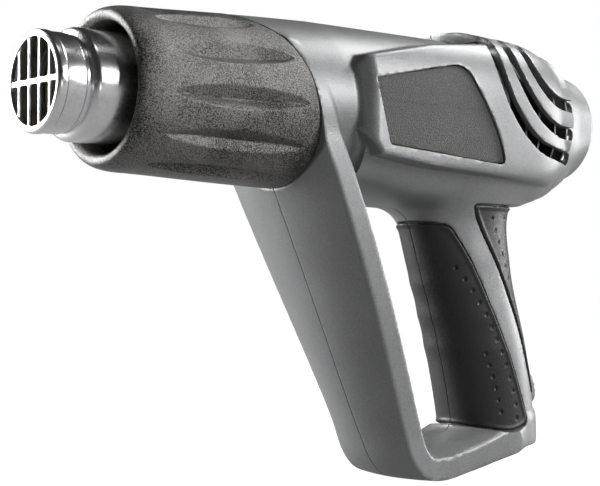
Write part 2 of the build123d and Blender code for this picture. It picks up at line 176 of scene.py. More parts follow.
def sample(field, axes, step):
    """Field on the grid, worked out fully only in blocks that the surface may pass through."""
    shape = [len(axis) for axis in axes]
    corners = [np.unique(np.append(np.arange(0, size, BLOCK), size - 1)) for size in shape]
    coarse = np.asarray(field(*np.ix_(*[axis[at] for axis, at in zip(axes, corners)])))
    coarse = np.broadcast_to(coarse, [len(at) for at in corners])
    reach = BLOCK * step * 1.15
    low_block = [slice(0, -1)] * 3
    blocks = coarse[tuple(low_block)]
    near = np.zeros(blocks.shape, bool)
    for corner in range(8):
        pick = tuple(slice(corner >> i & 1, coarse.shape[i] - 1 + (corner >> i & 1)) for i in range(3))
        near |= np.abs(coarse[pick]) < reach
    block_of = [np.clip(np.searchsorted(at, np.arange(size), side="right") - 1, 0, len(at) - 2)
                for at, size in zip(corners, shape)]
    spread = np.ix_(*block_of)
    value = blocks[spread].astype(np.float32)
    where = np.nonzero(near[spread])
    value[where] = field(*[axis[i] for axis, i in zip(axes, where)])
    return value


def field_mesh(field, low, high, step, cut_y=None):
    """Quad mesh of the zero level that keeps crisp edges. With cut_y, it ends in a flat face there."""
    step = step * COARSE
    axes = [np.arange(low[i], high[i] + step, step) for i in range(3)]
    if cut_y is not None:
        axes[1] = np.arange(cut_y - 1.4 * step, high[1] + step, step)

    def shape(x, y, z):
        return field(x, y, z) if cut_y is None else np.maximum(field(x, y, z), cut_y - y)

    value = sample(shape, axes, step)
    inside = value < 0
    count = 0
    for corner in range(8):
        pick = tuple(slice(corner >> i & 1, inside.shape[i] - 1 + (corner >> i & 1)) for i in range(3))
        count = count + inside[pick].astype(np.int8)
    active = (count > 0) & (count < 8)
    number = np.full(active.shape, -1, np.int64)
    total = int(active.sum())
    number[active] = np.arange(total)
    origin = np.array([axis[0] for axis in axes])
    pull = np.zeros((total, 3, 3))
    aim = np.zeros((total, 3))
    middle = np.zeros((total, 3))
    hits = np.zeros(total)
    quads = []
    for axis in range(3):
        first, second = [i for i in range(3) if i != axis]
        near = tuple(slice(0, -1) if i == axis else slice(1, -1) for i in range(3))
        far = tuple(slice(1, None) if i == axis else slice(1, -1) for i in range(3))
        at = np.argwhere(inside[near] != inside[far])
        at[:, first] += 1
        at[:, second] += 1
        start = origin + at * step
        along = np.zeros(3)
        along[axis] = step
        a, b = np.zeros(len(at)), np.ones(len(at))
        fa = shape(*start.T)
        fb = shape(*(start + along).T)
        for turn in range(3):
            t = np.clip(fa / np.where(fa == fb, 1, fa - fb), 0.02, 0.98)
            t = a + (b - a) * t
            ft = shape(*(start + along * t[:, None]).T)
            left = (ft < 0) == (fa < 0)
            a, fa = np.where(left, t, a), np.where(left, ft, fa)
            b, fb = np.where(left, b, t), np.where(left, fb, ft)
        point = start + along * t[:, None]
        normal = slope(shape, point)
        ring = []
        for back_a, back_b in ((1, 1), (0, 1), (0, 0), (1, 0)):
            cell = at.copy()
            cell[:, first] -= back_a
            cell[:, second] -= back_b
            owner = number[tuple(cell.T)]
            ring.append(owner)
            reach = (normal * point).sum(1)
            for i in range(3):
                middle[:, i] += np.bincount(owner, point[:, i], total)
                aim[:, i] += np.bincount(owner, normal[:, i] * reach, total)
                for j in range(3):
                    pull[:, i, j] += np.bincount(owner, normal[:, i] * normal[:, j], total)
            hits += np.bincount(owner, minlength=total)
        ring = np.stack(ring, 1)
        starts_inside = inside[tuple(at.T)]
        turned = starts_inside if axis == 1 else ~starts_inside
        ring[turned] = ring[turned][:, ::-1]
        quads.append(ring)
    hits = np.maximum(hits, 1)
    middle /= hits[:, None]
    hold = 0.06 * hits
    pull[:, [0, 1, 2], [0, 1, 2]] += hold[:, None]
    verts = np.linalg.solve(pull, (aim + hold[:, None] * middle)[:, :, None])[:, :, 0]
    move = np.clip(verts - middle, -0.75 * step, 0.75 * step)
    return middle + move, np.concatenate(quads)


def slope(field, points, h=0.03):
    """Unit gradient of the field at points."""
    base = field(*points.T)
    g = np.stack([field(*(points + h * axis).T) - base for axis in np.eye(3)], 1)
    return g / np.maximum(np.linalg.norm(g, axis=1), 1e-9)[:, None]


def make_piece(name, verts, faces, smooth=True):
    """Object from millimetre vertices."""
    mesh = bpy.data.meshes.new(name)
    verts = np.asarray(verts, float) * MM
    faces = np.asarray(faces)
    size = faces.shape[1]
    mesh.vertices.add(len(verts))
    mesh.vertices.foreach_set("co", verts.ravel())
    mesh.loops.add(faces.size)
    mesh.loops.foreach_set("vertex_index", faces.ravel())
    mesh.polygons.add(len(faces))
    mesh.polygons.foreach_set("loop_start", np.arange(len(faces)) * size)
    mesh.polygons.foreach_set("use_smooth", np.full(len(faces), smooth))
    mesh.update(calc_edges=True)
    mesh.validate()
    piece = bpy.data.objects.new(name, mesh)
    bpy.context.scene.collection.objects.link(piece)
    return piece


def sharpen(piece, degrees=35):
    """Smooth shading that breaks at real edges."""
    mesh = bmesh.new()
    mesh.from_mesh(piece.data)
    mesh.normal_update()
    for edge in mesh.edges:
        if len(edge.link_faces) == 2:
            edge.smooth = edge.calc_face_angle(0) < math.radians(degrees)
    mesh.to_mesh(piece.data)
    mesh.free()


def mirrored(verts, faces):
    """The same mesh on the tool's other side."""
    return verts * np.array([1, -1, 1]), faces[:, ::-1]


def lathe(profile, segments=160):
    """Closed ring profile (x, radius) turned about the barrel axis."""
    profile = np.asarray(profile, float)
    angle = 2 * math.pi * np.arange(segments) / segments
    verts = np.stack([np.repeat(profile[:, 0], segments),
                      np.outer(profile[:, 1], np.cos(angle)).ravel(),
                      np.outer(profile[:, 1], np.sin(angle)).ravel()], 1)
    rows = len(profile)
    row, col = np.divmod(np.arange(rows * segments), segments)
    next_row = (row + 1) % rows
    next_col = (col + 1) % segments
    faces = np.stack([row * segments + col, next_row * segments + col,
                      next_row * segments + next_col, row * segments + next_col], 1)
    return verts, faces


def rounded_profile(points, radii, steps=5):
    """Closed profile with each corner rounded to its own radius."""
    count = len(points)
    out = []
    for k in range(count):
        p = np.array(points[k], float)
        back = np.array(points[k - 1], float) - p
        ahead = np.array(points[(k + 1) % count], float) - p
        lengths = np.linalg.norm(back), np.linalg.norm(ahead)
        radius = min(radii[k], 0.48 * lengths[0], 0.48 * lengths[1])
        if radius <= 0:
            out.append(tuple(p))
            continue
        start = p + back / lengths[0] * radius
        end = p + ahead / lengths[1] * radius
        for s in np.linspace(0, 1, steps):
            out.append(tuple((1 - s) ** 2 * start + 2 * s * (1 - s) * p + s * s * end))
    return out


# =====================================================================
# Form of the housing
# =====================================================================
SEAM_Z = (-44, -30, -14, 0.5, 13.5, 22, 27.5, 36)
SEAM_X = (158.5, 159.5, 161, 164.5, 169, 174.5, 182, 197)
HOOD_X = (0, 5, 14, 24, 34, 65, 100, 150)
HOOD_OUTLINE = [(-2, -30), (50, -26.1), (111, -23), (137, -19.8), (145, -11), (146.6, 13), (143.5, 16.4),
                (108, 24), (74, 28), (80.5, 45), (-2, 45)]
COLUMN_PATH = rounded_path([(172, 16), (161.5, -5), (146.4, -36), (129.9, -71), (116.9, -100), (108, -121),
                            (103.4, -132.5), (97.6, -139), (89, -140.4), (78, -138.8), (64, -135.6),
                            (50, -132)])
PANEL_OUTLINE = rounded_profile([(140, 8.2), (93, 17.4), (75.5, -7.5), (70.6, -20.6), (133.5, -15.8)],
                                [1.2, 6.5, 9, 4, 1.2])
SLOT_LINES = [
    rounded_path([(71, 31), (73, 20), (68, 6), (57, -6), (44, -13), (22, -15.5)]),
    rounded_path([(60, 32), (62, 21), (56, 9), (46, 0), (34, -4.5), (20, -5.5)]),
    rounded_path([(50, 32), (50.5, 21), (45, 13), (36, 8), (20, 5.5)]),
]
GRIP_Z = (-137.5, -130, -118, -97, -60, -38, -26)
FRONT_PAD = rounded_profile([(93, -42), (80.2, -43.8), (70.6, -57.5), (59, -79), (47.8, -101.5),
                             (38.2, -125.5), (50, -128.6), (66, -125.4), (93, -124)],
                            [0, 3, 8, 9, 9, 6.5, 4, 3, 0])
REAR_PAD = rounded_profile([(72.5, -35.5), (66.5, -45.5), (54.5, -63.5), (45, -81), (38.2, -99),
                            (31.8, -114), (5, -114), (5, -35.5)], [1.5, 6, 8, 8, 8, 1, 0, 0])
BOSSES = [(149, -29.5), (127.2, -78), (103, -131), (66, -135.6), (79, -34.5), (26, -24.5)]


def seam_x(z):
    return curve(z, SEAM_Z, SEAM_X)


def hood(x, y, z):
    """Hood and cheeks before the outline trims them."""
    half_width = curve(x, HOOD_X, (REAR_R, 23.5, 24.9, 28.6, 32.3, 36.4, 36.9, 36.9))
    top = curve(x, HOOD_X, (REAR_R, 23.6, 24.8, 28.6, 32.2, 34.4, 34.5, 33.0))
    bottom = curve(x, HOOD_X, (REAR_R, 23.5, 25.4, 28.0, 29.5, 30.5, 30.5, 30.0))
    upper = curve(x, HOOD_X, (2.0, 2.05, 2.2, 2.35, 2.5, 2.9, 3.0, 3.0))
    lower = curve(x, HOOD_X, (2.0, 2.1, 2.6, 3.4, 4.6, 6.5, 7.5, 7.5))
    power = np.where(z > 0, upper, lower)
    height = np.where(z > 0, top, bottom)
    return oval(y, z, half_width, height, power)


def trimmed_hood(x, y, z, edge=1.5):
    d = cut(hood(x, y, z), outline_distance(x, z, HOOD_OUTLINE), edge)
    d = cut(d, (x + np.abs(y) - 177.6) * 0.7071, edge)
    return cut(d, 0.25 - x, 1.2)


def belly(x, y, z):
    half_width = curve(x, (0, 12, 26, 60, 100, 140), (12, 21, 26.5, 29.8, 30.3, 31))
    bottom = curve(x, (0, 10, 18, 26, 34, 60, 112, 134), (22.3, 26.6, 29.9, 33.2, 35.2, 36.2, 36.3, 33))
    d = oval(y, np.minimum(z + 2, 0), half_width, bottom - 2, 3.0)
    d = np.maximum(d, z - 12)
    return np.maximum(d, np.maximum(4 - x, x - 140))


def d_frame(x, y, z):
    """Front column and base: flat strips at the sides, crowned faces between them."""
    distance, side, along = path_distance(x, z, COLUMN_PATH)
    half_width = curve(z, (-145, -136, -121, -100, -71, -36, -14, 2, 16),
                       (20.4, 20.5, 21, 23.6, 27.4, 30.6, 31.4, 30.6, 24.0))
    bulge = 1 - (y / (half_width + 0.5)) ** 2
    outer_crown = curve(along, (0, 0.45, 0.56, 0.66, 0.75, 1), (5.2, 5.4, 3.6, 1.0, 0.6, 0.6))
    inner_crown = curve(along, (0, 0.5, 0.8, 1), (4.5, 4.5, 4.5, 3.0))
    depth = 4.5 + bulge * np.where(side < 0, inner_crown, outer_crown)
    return cut(distance - depth + 0.4, np.abs(y) - half_width, 0.9)


def heel(x, y, z):
    """Foot of the grip, round in plan, that closes the base at the rear."""
    plan = oval(x - 55, y, 30.6, 20.4, 2.6)
    floor = curve(x, (10, 25, 44, 62, 80, 98), (128, 132.6, 136.4, 139.6, 142.6, 144))
    roof = curve(x, (10, 40, 58, 66, 80), (118, 124, 128.4, 131.4, 134.8))
    return cut(cut(plan, -z - floor, 3.0), z + roof, 2.0)


def grip(x, y, z):
    centre = curve(z, GRIP_Z, (43.0, 43.4, 45.2, 49.6, 60.4, 65.0, 66.5))
    half_depth = curve(z, GRIP_Z, (20, 20.4, 20.8, 21.3, 22.9, 26.5, 32))
    half_width = curve(z, GRIP_Z, (19, 19.2, 19.2, 19.4, 18.6, 19.6, 24))
    ridges = sum(np.exp(-((z + at) / 3.6) ** 2) for at in (68, 81, 94)) * np.clip((x - centre) / 18, 0, 1)
    d = oval(x - centre, y, half_depth, half_width, 2.15) - 0.3 * ridges
    return np.maximum(d, np.maximum(z + 22, -z - 134))


def body(x, y, z):
    """Outer form of both housing halves together, as drawn in one piece."""
    barrel = np.maximum(np.sqrt(y * y + z * z) - guard_radius(x) + 0.1, 24 - x)
    trunk = join(barrel, d_frame(x, y, z), 2.2)
    trunk = join(trunk, belly(x, y, z), 3.0)
    trunk = join(trunk, grip(x, y, z), 7.0)
    trunk = join(trunk, heel(x, y, z), 3.0)
    return join(trunk, trimmed_hood(x, y, z), 0.9)


def housing(x, y, z):
    """Left half with its recesses, air slots and the hollow behind them."""
    skin = body(x, y, z)
    d = cut(skin, 0.4 * (x - seam_x(z) + 0.15), 0.3)
    panel = np.maximum(outline_distance(x, z, PANEL_OUTLINE) - 0.3, 8 - np.abs(y))
    d = cut(d, -np.maximum(panel, -(hood(x, y, z) + PANEL_POCKET)), 0.6)
    pads = np.minimum(outline_distance(x, z, FRONT_PAD), outline_distance(x, z, REAR_PAD)) - 0.25
    d = cut(d, -np.maximum(pads, -(grip(x, y, z) + PAD_DEPTH)), 0.5)
    hollow = np.maximum(np.maximum(hood(x, y, z) + HOUSING_WALL, x - 112), 2.6 - x)
    hollow = np.maximum(hollow, outline_distance(x, z, HOOD_OUTLINE) + HOUSING_WALL)
    slots = None
    for line in SLOT_LINES:
        distance = path_distance(x, z, line)[0] - SLOT_HALF_WIDTH
        slots = distance if slots is None else np.minimum(slots, distance)
    slots = np.maximum(slots, 9 - np.abs(y))
    slots = np.maximum(slots, -(hood(x, y, z) + 6))
    d = cut(d, -hollow, 0.3)
    d = cut(d, -slots, 0.6)
    rear_hole = np.maximum(np.sqrt(y * y + z * z) - REAR_HOLE_R, x - 4)
    return cut(d, -rear_hole, 0.5)


def right_housing(x, y, z):
    """Right half, drawn here on the +Y side: the left's mirror with screw wells."""
    d = housing(x, y, z)
    for at_x, at_z in BOSSES:
        well = np.maximum(np.sqrt((x - at_x) ** 2 + (z - at_z) ** 2) - SCREW_WELL_R, SCREW_WELL_FLOOR_Y - y)
        d = cut(d, -well, 0.4)
    return d


def side_panel(x, y, z):
    """Thin grained panel let into the hood."""
    d = np.maximum(hood(x, y, z) + PANEL_RECESS, -(hood(x, y, z) + 1.85))
    edge = np.maximum(outline_distance(x, z, PANEL_OUTLINE), 8 - y)
    return cut(d, edge, 0.5)


def pad(x, y, z, outline):
    """Rubber sunk in the grip within an outline, with a raised bead round its edge."""
    skin = grip(x, y, z)
    edge = outline_distance(x, z, outline) + PAD_CLEARANCE
    bead = 0.4 * np.exp(-((edge + 0.9) / 0.7) ** 2)
    d = np.maximum(skin - 0.2 - bead, -(skin + PAD_DEPTH))
    return cut(d, edge, 0.7)


def front_pad(x, y, z):
    return pad(x, y, z, FRONT_PAD)


def rear_pad(x, y, z):
    """Rubber round the back of the grip, open round the switch bezel."""
    bezel = np.maximum(np.abs(y) - BEZEL_HALF_WIDTH, np.maximum(z + 87.5, -z - 127))
    return cut(pad(x, y, z, REAR_PAD), -bezel, 0.5)


def with_dimples(field, rows, radius=1.0, depth=0.6):
    """The same rubber with round dimples pressed in at side-view points."""
    centres = []
    for at_x, at_z in rows:
        ys = np.linspace(2, 24, 221)
        skin = grip(np.full_like(ys, at_x), ys, np.full_like(ys, at_z))
        centres.append((at_x, float(np.interp(0.25, skin, ys)), at_z))

    def dimpled(x, y, z):
        d = field(x, y, z)
        for cx, cy, cz in centres:
            pit = np.sqrt((x - cx) ** 2 + (y - cy - radius + depth) ** 2 + (z - cz) ** 2) - radius
            d = cut(d, -pit, 0.2)
        return d
    return dimpled


def row_between(points, count):
    """Evenly spaced points along a side-view curve."""
    line = np.array(rounded_path(points))
    length = np.concatenate([[0], np.cumsum(np.linalg.norm(np.diff(line, axis=0), axis=1))])
    at = np.linspace(0, length[-1], count)
    return list(zip(np.interp(at, length, line[:, 0]), np.interp(at, length, line[:, 1])))


# =====================================================================
# Heat guard and nozzle
# =====================================================================
FLUTE_ANGLES = [math.radians(a) for a in (54, 24, -6, -36, -66)]     # measured up from the side
FLUTE_FRONT_X = 224.0
FLUTE_GAP = 4.5           # from the rear seam to a flute's tail
FLUTE_HALF_ANGLE = math.radians(7.8)
FLUTE_DEPTH = 2.8
LIP_X = 224.0
LIP_LENGTH = 12.0


def guard_radius(x):
    return curve(x, (150, 170, 200, 215, 224), (32.0, 31.3, 29.9, 29.1, 28.7))


def heat_guard():
    """Sleeve swept from its curved rear seam to the rolled lip, with spindle-shaped flutes sunk in it."""
    around = 400
    along = 200
    angle = 2 * math.pi * np.arange(around) / around
    turn = np.linspace(0, math.pi / 2, 18)
    outer_lip = [(LIP_X + LIP_LENGTH * math.sin(a) ** 0.9, GUARD_MOUTH_R + 3.7 * math.cos(a) ** 0.75)
                 for a in turn]
    inner_lip = [(233.5 + 2.5 * math.cos(a), GUARD_MOUTH_R - 2.0 * math.sin(a)) for a in turn]
    bore = [(226.5, 23.1), (225.5, 24.6)]
    s = np.linspace(0, 1, along)
    rear = seam_x(31.5 * np.sin(angle)) + 0.12
    x = rear[None, :] + (LIP_X - rear[None, :]) * s[:, None]
    r = guard_radius(x)
    for centre in FLUTE_ANGLES:
        tail = seam_x(31.5 * math.sin(centre)) + FLUTE_GAP
        t = np.clip((x - tail) / (FLUTE_FRONT_X - tail), 0, 1)
        spread = np.sin(math.pi * t) ** 0.55
        for side_angle in (angle, math.pi - angle):
            off = (side_angle[None, :] - centre + math.pi) % (2 * math.pi) - math.pi
            u = off / (FLUTE_HALF_ANGLE * np.maximum(spread, 1e-3))
            steep = np.clip((u + 1) / 0.8, 0, 1)
            gentle = np.clip((1 - u) / 1.2, 0, 1) ** 0.85
            r = r - FLUTE_DEPTH * spread * np.minimum(steep, gentle) * (spread > 1e-3)
    rows = [np.stack([rear, np.full(around, GUARD_REAR_R)], 1), np.stack([rear, r[0] - 0.5], 1),
            np.stack([rear + 0.15, r[0] - 0.15], 1), np.stack([rear + 0.5, r[0]], 1)]
    rows += [np.stack([x[i], r[i]], 1) for i in range(2, along)]
    for ring in (outer_lip[1:], inner_lip[1:], bore):
        rows += [np.tile(point, (around, 1)) for point in ring]
    rows.append(np.stack([np.full(around, 200.0), np.full(around, 26.6)], 1))
    grid = np.stack(rows)
    verts = np.stack([grid[:, :, 0], grid[:, :, 1] * np.cos(angle), grid[:, :, 1] * np.sin(angle)], 2)
    count = len(rows)
    row, col = np.divmod(np.arange(count * around), around)
    down = (row + 1) % count
    nxt = (col + 1) % around
    faces = np.stack([row * around + col, row * around + nxt,
                      down * around + nxt, down * around + col], 1)
    return verts.reshape(-1, 3), faces


def nozzle_profile():
    """Stepped steel tube: slip-on length, rolled bead, larger length and mounting flange."""
    points = [(133, 29.0), (133, 18.5), (246.4, 18.5), (247.6, 16.4), (258.3, 16.4), (258.3, 16.95),
              (250.6, 16.95), (249.9, 16.3), (248.7, 16.3), (248.2, 17.8), (247.2, 19.25), (134.2, 19.3),
              (134.2, 29.0)]
    radii = [0, 0, 0.6, 0.6, 0.2, 0.2, 0.5, 0.4, 0.4, 0.7, 1.6, 0, 0]
    return rounded_profile(points, radii)


def cap_profile():
    """Crimped cap ring that holds the outlet grille."""
    points = [(257.4, 17.0), (257.6, 16.9), (259.4, 16.2), (259.6, 15.0), (260.9, 14.9), (261, 15.2),
              (261, 16.4), (260.4, 17.3), (258.0, 17.3)]
    radii = [0.1, 0.1, 0.3, 0.2, 0.1, 0.1, 0.5, 0.6, 0.3]
    return rounded_profile(points, radii)


def grille_bars(x, y, z):
    """Four upright bars and a crossbar, flat with soft edges, within the cap ring."""
    bars = None
    for at in OUTLET_BAR_Y:
        bar = np.abs(y - at) - 0.6
        bars = bar if bars is None else np.minimum(bars, bar)
    bars = join(bars, np.abs(z) - 0.95, 1.2)
    radius = np.sqrt(y * y + z * z)
    bars = join(bars, 15.0 - radius, 1.6)
    bars = np.maximum(bars, radius - 16.0)
    return cut(bars, np.abs(x - 260.2) - 0.5, 0.35)


# =====================================================================
# Thumb piece of the switch
# =====================================================================
SPINE = Vector((0.183, 0, 0.983)).normalized()
OUTWARD = Vector((-0.983, 0, 0.183)).normalized()
THUMB_AT = Vector((25.3, 0, -113.2))


def thumb_piece(x, y, z):
    """Domed slider with finger ribs, on a neck that runs into the slot."""
    dx, dz = x - THUMB_AT.x, z - THUMB_AT.z
    up = dx * SPINE.x + dz * SPINE.z
    out = dx * OUTWARD.x + dz * OUTWARD.z
    plan = oval(up, y, 7.4, 6.6, 3.2)
    roof = out - 6.8 + 0.024 * up * up + 0.016 * y * y
    ribs = 0.28 * np.cos(up * 2 * math.pi / 2.6) * np.clip(1 - np.abs(up) / 5, 0, 1)
    dome = cut(plan, roof + ribs, 1.4)
    dome = cut(dome, 0.95 - out, 0.4)
    neck = np.maximum(np.maximum(np.abs(up) - 2.4, np.abs(y) - 2.1), np.maximum(-9 - out, out - 1.5))
    return join(dome, neck, 0.3)


# =====================================================================
# Finishes
# =====================================================================
def new_group(name, inputs, outputs):
    """Empty shader node group with named sockets."""
    group = bpy.data.node_groups.new(name, "ShaderNodeTree")
    for label, value in inputs:
        socket = group.interface.new_socket(label, in_out="INPUT", socket_type="NodeSocketFloat")
        socket.default_value = value
    for label, kind in outputs:
        group.interface.new_socket(label, in_out="OUTPUT", socket_type=kind)
    return group, group.nodes.new("NodeGroupInput"), group.nodes.new("NodeGroupOutput")


def noise(tree, scale, detail=2.0, rough=0.5):
    """Object-space noise."""
    place = tree.nodes.new("ShaderNodeTexCoord")
    node = tree.nodes.new("ShaderNodeTexNoise")
    node.inputs["Detail"].default_value = detail
    node.inputs["Roughness"].default_value = rough
    tree.links.new(place.outputs["Object"], node.inputs["Vector"])
    if hasattr(scale, "is_linked"):
        tree.links.new(scale, node.inputs["Scale"])
    else:
        node.inputs["Scale"].default_value = scale
    return node.outputs["Fac"]


def math_node(tree, kind, a, b=0.0, clamp=False):
    node = tree.nodes.new("ShaderNodeMath")
    node.operation = kind
    node.use_clamp = clamp
    for socket, value in zip(node.inputs, (a, b)):
        if hasattr(value, "is_linked"):
            tree.links.new(value, socket)
        else:
            socket.default_value = value
    return node.outputs[0]


def grain_group():
    """Moulded grain: fine pits and a coarser mottle, as height and as a mask."""
    group, given, out = new_group(
        "moulded grain",
        [("Pit scale", 2500.0), ("Mottle scale", 60.0), ("Mottle", 0.3), ("Contrast", 3.0)],
        [("Height", "NodeSocketFloat"), ("Mask", "NodeSocketFloat")])
    pits = noise(group, given.outputs["Pit scale"], 3.0, 0.6)
    mottle = noise(group, given.outputs["Mottle scale"], 3.0, 0.5)
    spread = math_node(group, "MULTIPLY", mottle, given.outputs["Mottle"])
    pit_level = math_node(group, "SUBTRACT", pits, 0.5)
    mottle_level = math_node(group, "SUBTRACT", spread, 0.15)
    level = math_node(group, "ADD", pit_level, mottle_level)
    stretched = math_node(group, "MULTIPLY", level, given.outputs["Contrast"])
    mask = math_node(group, "ADD", stretched, 0.5, True)
    group.links.new(pits, out.inputs["Height"])
    group.links.new(mask, out.inputs["Mask"])
    return group


def wear_group():
    """Rubbed edges: where the surface turns sharply, broken up by noise."""
    group, given, out = new_group("edge wear", [("Amount", 0.5), ("Break up", 90.0)],
                                  [("Mask", "NodeSocketFloat")])
    geometry = group.nodes.new("ShaderNodeNewGeometry")
    sharpness = math_node(group, "SUBTRACT", geometry.outputs["Pointiness"], 0.52)
    turn = math_node(group, "MULTIPLY", sharpness, 14.0, True)
    patch = math_node(group, "MULTIPLY", noise(group, given.outputs["Break up"], 4.0, 0.6), 1.6, True)
    rubbed = math_node(group, "MULTIPLY", turn, patch)
    mask = math_node(group, "MULTIPLY", rubbed, given.outputs["Amount"], True)
    group.links.new(mask, out.inputs["Mask"])
    return group


GRAIN = grain_group()
WEAR = wear_group()


def mix(tree, factor, a, b):
    """Colour between a and b."""
    node = tree.nodes.new("ShaderNodeMix")
    node.data_type = "RGBA"
    tree.links.new(factor, node.inputs["Factor"])
    for label, value in (("A", a), ("B", b)):
        socket = [s for s in node.inputs if s.name == label and s.type == "RGBA"][0]
        if hasattr(value, "is_linked"):
            tree.links.new(value, socket)
        else:
            socket.default_value = (*value, 1)
    return [s for s in node.outputs if s.type == "RGBA"][0]


def ramp(tree, value, low, high):
    """Value rescaled from 0..1 to low..high."""
    node = tree.nodes.new("ShaderNodeMapRange")
    node.inputs["From Min"].default_value = 0.3
    node.inputs["From Max"].default_value = 0.7
    node.inputs["To Min"].default_value = low
    node.inputs["To Max"].default_value = high
    tree.links.new(value, node.inputs["Value"])
    return node.outputs[0]


def moulded(name, dark, light, rough, pit_scale, bump, metallic=0.0, worn=None, wear=0.4, mottle=0.3,
            contrast=3.0):
    """Moulded or cast finish: grain in colour, roughness and bump, and rubbed edges."""
    material = bpy.data.materials.new(name)
    material.use_nodes = True
    tree = material.node_tree
    shader = tree.nodes["Principled BSDF"]
    grain = tree.nodes.new("ShaderNodeGroup")
    grain.node_tree = GRAIN
    grain.inputs["Pit scale"].default_value = pit_scale
    grain.inputs["Mottle"].default_value = mottle
    grain.inputs["Contrast"].default_value = contrast
    colour = mix(tree, grain.outputs["Mask"], dark, light)
    if worn:
        edge = tree.nodes.new("ShaderNodeGroup")
        edge.node_tree = WEAR
        edge.inputs["Amount"].default_value = wear
        colour = mix(tree, edge.outputs["Mask"], colour, worn)
    tree.links.new(colour, shader.inputs["Base Color"])
    tree.links.new(ramp(tree, grain.outputs["Mask"], rough[0], rough[1]), shader.inputs["Roughness"])
    shader.inputs["Metallic"].default_value = metallic
    relief = tree.nodes.new("ShaderNodeBump")
    relief.inputs["Distance"].default_value = bump
    relief.inputs["Strength"].default_value = 1.0
    tree.links.new(grain.outputs["Height"], relief.inputs["Height"])
    tree.links.new(relief.outputs["Normal"], shader.inputs["Normal"])
    return material


FINISHES = {
    "housing": moulded("silver housing plastic",
        (0.17, 0.172, 0.175), (0.34, 0.343, 0.348), (0.36, 0.46), 1700, 0.00007, metallic=0.35,
        worn=(0.5, 0.5, 0.5), wear=0.2, contrast=1.3),
    "guard_plastic": moulded("charcoal guard plastic",
        (0.006, 0.0058, 0.0055), (0.24, 0.232, 0.22), (0.28, 0.42), 2100, 0.00025, metallic=0.2,
        worn=(0.2, 0.2, 0.2), wear=0.2, contrast=7.0),
    "panel_plastic": moulded("charcoal panel plastic",
        (0.0035, 0.0035, 0.003), (0.045, 0.0435, 0.041), (0.42, 0.6), 1900, 0.0003, metallic=0.0,
        contrast=6.0),
    "grip_rubber": moulded("black grip rubber",
        (0.004, 0.004, 0.004), (0.014, 0.0135, 0.013), (0.38, 0.55), 1500, 0.00012,
        worn=(0.05, 0.05, 0.05), wear=0.25),
    "nozzle_steel": moulded("polished steel",
        (0.60, 0.60, 0.61), (0.70, 0.70, 0.71), (0.14, 0.24), 900, 0.00001, metallic=1.0, mottle=0.6),
    "black_plastic": moulded("black plastic",
        (0.010, 0.010, 0.011), (0.03, 0.03, 0.032), (0.4, 0.55), 1800, 0.0001),
    "gland_rubber": moulded("black gland rubber",
        (0.010, 0.010, 0.010), (0.025, 0.025, 0.025), (0.5, 0.65), 1500, 0.0001),
    "mica": moulded("mica sheet",
        (0.36, 0.3, 0.2), (0.62, 0.55, 0.42), (0.3, 0.5), 600, 0.00006),
    "ceramic_white": moulded("white ceramic",
        (0.6, 0.57, 0.5), (0.8, 0.78, 0.72), (0.6, 0.8), 1500, 0.0001),
    "heater_wire": moulded("oxidised heater wire",
        (0.05, 0.045, 0.04), (0.16, 0.14, 0.13), (0.35, 0.5), 2500, 0.00004, metallic=0.9),
    "motor_steel": moulded("zinc-plated steel",
        (0.4, 0.4, 0.4), (0.58, 0.58, 0.57), (0.25, 0.4), 700, 0.00003, metallic=1.0),
    "magnet": moulded("dark ferrite",
        (0.03, 0.03, 0.03), (0.08, 0.08, 0.08), (0.5, 0.7), 1500, 0.0001),
    "copper": moulded("copper",
        (0.55, 0.28, 0.15), (0.75, 0.42, 0.26), (0.25, 0.45), 800, 0.00003, metallic=1.0),
    "screw_steel": moulded("blackened steel",
        (0.05, 0.05, 0.052), (0.14, 0.14, 0.145), (0.3, 0.45), 900, 0.00004, metallic=1.0),
    "board": moulded("green laminate",
        (0.015, 0.09, 0.03), (0.04, 0.16, 0.07), (0.3, 0.45), 500, 0.00002),
    "board_parts": moulded("component bodies",
        (0.02, 0.03, 0.06), (0.06, 0.08, 0.14), (0.3, 0.5), 900, 0.00003),
}


def finish_piece(piece, slot, body="housing", replaces=()):
    """Finish, body and CAD node of a new piece."""
    piece.data.materials.clear()
    piece.data.materials.append(FINISHES[slot])
    if replaces:
        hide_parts(*replaces)
    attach(piece, body)


# =====================================================================
# Build
# =====================================================================
SHELL_ZONES = {side: [f"{zone}_{side}" for zone in ("housing", "grip_shell", "hand_guard", "base_shell")]
               for side in ("left", "right")}


def build_housing():
    low, high, step = (-1, 0, -146), (201, 39, 37), 0.9
    verts, faces = field_mesh(housing, low, high, step, SPLIT_Y)
    left = make_piece("housing_left_shell", verts, faces)
    sharpen(left)
    finish_piece(left, "housing", replaces=SHELL_ZONES["left"])
    verts, faces = mirrored(*field_mesh(right_housing, low, high, step, SPLIT_Y))
    right = make_piece("housing_right_shell", verts, faces)
    sharpen(right)
    finish_piece(right, "housing", replaces=SHELL_ZONES["right"])


def build_panels():
    verts, faces = field_mesh(side_panel, (68, 10, -23), (141, 39, 20), 0.6)
    for side, node in ((1, "side_panel_left"), (-1, "side_panel_right")):
        v, f = (verts, faces) if side > 0 else mirrored(verts, faces)
        piece = make_piece(node + "_skin", v, f)
        sharpen(piece)
        finish_piece(piece, "panel_plastic", replaces=[node])


